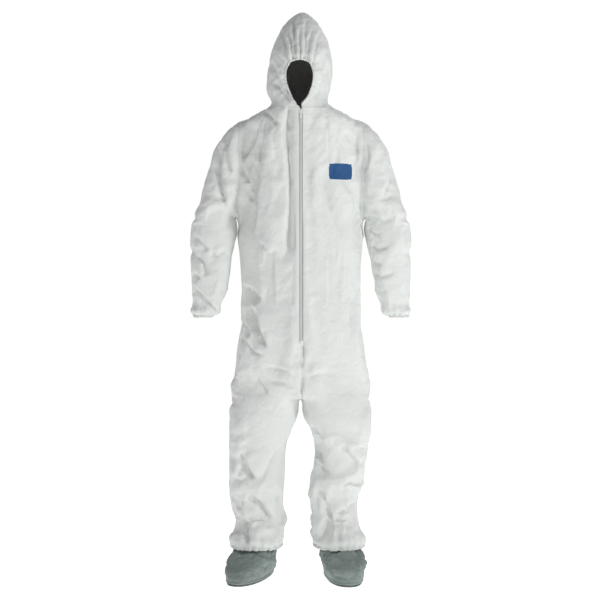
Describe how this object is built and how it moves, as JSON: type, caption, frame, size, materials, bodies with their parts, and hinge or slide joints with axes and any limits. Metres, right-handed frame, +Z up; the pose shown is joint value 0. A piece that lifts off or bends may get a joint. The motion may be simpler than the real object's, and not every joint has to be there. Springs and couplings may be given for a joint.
{
  "type": "chemical protective suit",
  "caption": "Hooded protective coverall with a front zip, gathered hood, elastic cuffs, bloused legs and attached grey boots, standing as worn.",
  "frame": {"origin": "on the floor under the middle of the suit's width and depth", "axes": "+Z up, -Y the way the wearer faces, +X towards the wearer's left"},
  "size_m": [0.726, 0.3444, 1.86],
  "materials": {
    "white_nonwoven": "matte",
    "white_elastic": "matte",
    "zip_tape": "matte",
    "zip_plastic": "satin",
    "blue_label": "satin",
    "white_tag": "satin",
    "grey_boot_fabric": "matte",
    "grey_sole": "matte"
  },
  "bodies": {
    "torso": {"front_panel_left": "white_nonwoven", "front_panel_right": "white_nonwoven", "back_panel_left": "white_nonwoven", "back_panel_right": "white_nonwoven", "hip_section_left": "white_nonwoven", "hip_section_right": "white_nonwoven", "crotch_gusset": "white_nonwoven", "chest_label": "blue_label", "size_tag": "white_tag", "zip_tape_left": "zip_tape", "zip_tape_right": "zip_tape", "zip_teeth_left": "zip_plastic", "zip_teeth_right": "zip_plastic", "zip_top_stop_left": "zip_plastic", "zip_top_stop_right": "zip_plastic", "zip_bottom_stop": "zip_plastic", "sleeve_cap_left": "white_nonwoven", "sleeve_cap_right": "white_nonwoven", "hood_neck_left": "white_nonwoven", "hood_neck_right": "white_nonwoven"},
    "hood": {"hood_left": "white_nonwoven", "hood_right": "white_nonwoven", "face_elastic": "white_elastic"},
    "slider": {"zip_slider": "zip_plastic"},
    "pull_tab": {"zip_pull": "zip_plastic"},
    "upper_arm_left": {"sleeve_upper_left": "white_nonwoven", "elbow_section_left": "white_nonwoven"},
    "forearm_left": {"sleeve_lower_left": "white_nonwoven", "wrist_elastic_left": "white_elastic"},
    "thigh_left": {"thigh_front_left": "white_nonwoven", "thigh_back_left": "white_nonwoven", "knee_section_left": "white_nonwoven"},
    "shin_left": {"calf_front_left": "white_nonwoven", "calf_back_left": "white_nonwoven", "hem_section_left": "white_nonwoven"},
    "foot_left": {"boot_upper_left": "grey_boot_fabric", "boot_sole_left": "grey_sole", "boot_elastic_left": "white_elastic"},
    "upper_arm_right": {"sleeve_upper_right": "white_nonwoven", "elbow_section_right": "white_nonwoven"},
    "forearm_right": {"sleeve_lower_right": "white_nonwoven", "wrist_elastic_right": "white_elastic"},
    "thigh_right": {"thigh_front_right": "white_nonwoven", "thigh_back_right": "white_nonwoven", "knee_section_right": "white_nonwoven"},
    "shin_right": {"calf_front_right": "white_nonwoven", "calf_back_right": "white_nonwoven", "hem_section_right": "white_nonwoven"},
    "foot_right": {"boot_upper_right": "grey_boot_fabric", "boot_sole_right": "grey_sole", "boot_elastic_right": "white_elastic"}
  },
  "joints": [
    {"name": "hood_tilt", "type": "hinge", "parent": "torso", "child": "hood", "pos_m": [0, 0.0982, 1.56], "axis": [-1, 0, 0], "range_deg": [0, 70], "deforming": ["hood_neck_left", "hood_neck_right"]},
    {"name": "zip_slide", "type": "slide", "parent": "torso", "child": "slider", "axis": [0, 0, -1], "range_m": [0, 0.72]},
    {"name": "pull_swing", "type": "hinge", "parent": "slider", "child": "pull_tab", "pos_m": [0, -0.093, 1.52], "axis": [-1, 0, 0], "range_deg": [0, 150]},
    {"name": "shoulder_left", "type": "hinge", "parent": "torso", "child": "upper_arm_left", "pos_m": [0.195, 0.0382, 1.43], "axis": [0, -1, 0], "range_deg": [0, 75], "deforming": ["sleeve_cap_left"]},
    {"name": "elbow_left", "type": "hinge", "parent": "upper_arm_left", "child": "forearm_left", "pos_m": [0.285, 0.0382, 1.15], "axis": [-1, 0, 0], "range_deg": [0, 90], "deforming": ["elbow_section_left"]},
    {"name": "hip_left", "type": "hinge", "parent": "torso", "child": "thigh_left", "pos_m": [0.12, 0.0382, 0.75], "axis": [-1, 0, 0], "range_deg": [-15, 80], "deforming": ["hip_section_left"]},
    {"name": "knee_left", "type": "hinge", "parent": "thigh_left", "child": "shin_left", "pos_m": [0.12, 0.0382, 0.44], "axis": [1, 0, 0], "range_deg": [0, 90], "deforming": ["knee_section_left"]},
    {"name": "ankle_left", "type": "hinge", "parent": "shin_left", "child": "foot_left", "pos_m": [0.13, 0.0382, 0.11], "axis": [-1, 0, 0], "range_deg": [-20, 20], "deforming": ["hem_section_left"]},
    {"name": "shoulder_right", "type": "hinge", "parent": "torso", "child": "upper_arm_right", "pos_m": [-0.195, 0.0382, 1.43], "axis": [0, 1, 0], "range_deg": [0, 75], "deforming": ["sleeve_cap_right"]},
    {"name": "elbow_right", "type": "hinge", "parent": "upper_arm_right", "child": "forearm_right", "pos_m": [-0.285, 0.0382, 1.15], "axis": [-1, 0, 0], "range_deg": [0, 90], "deforming": ["elbow_section_right"]},
    {"name": "hip_right", "type": "hinge", "parent": "torso", "child": "thigh_right", "pos_m": [-0.134, 0.0382, 0.75], "axis": [-1, 0, 0], "range_deg": [-15, 80], "deforming": ["hip_section_right"]},
    {"name": "knee_right", "type": "hinge", "parent": "thigh_right", "child": "shin_right", "pos_m": [-0.134, 0.0382, 0.44], "axis": [1, 0, 0], "range_deg": [0, 90], "deforming": ["knee_section_right"]},
    {"name": "ankle_right", "type": "hinge", "parent": "shin_right", "child": "foot_right", "pos_m": [-0.144, 0.0382, 0.11], "axis": [-1, 0, 0], "range_deg": [-20, 20], "deforming": ["hem_section_right"]}
  ]
}
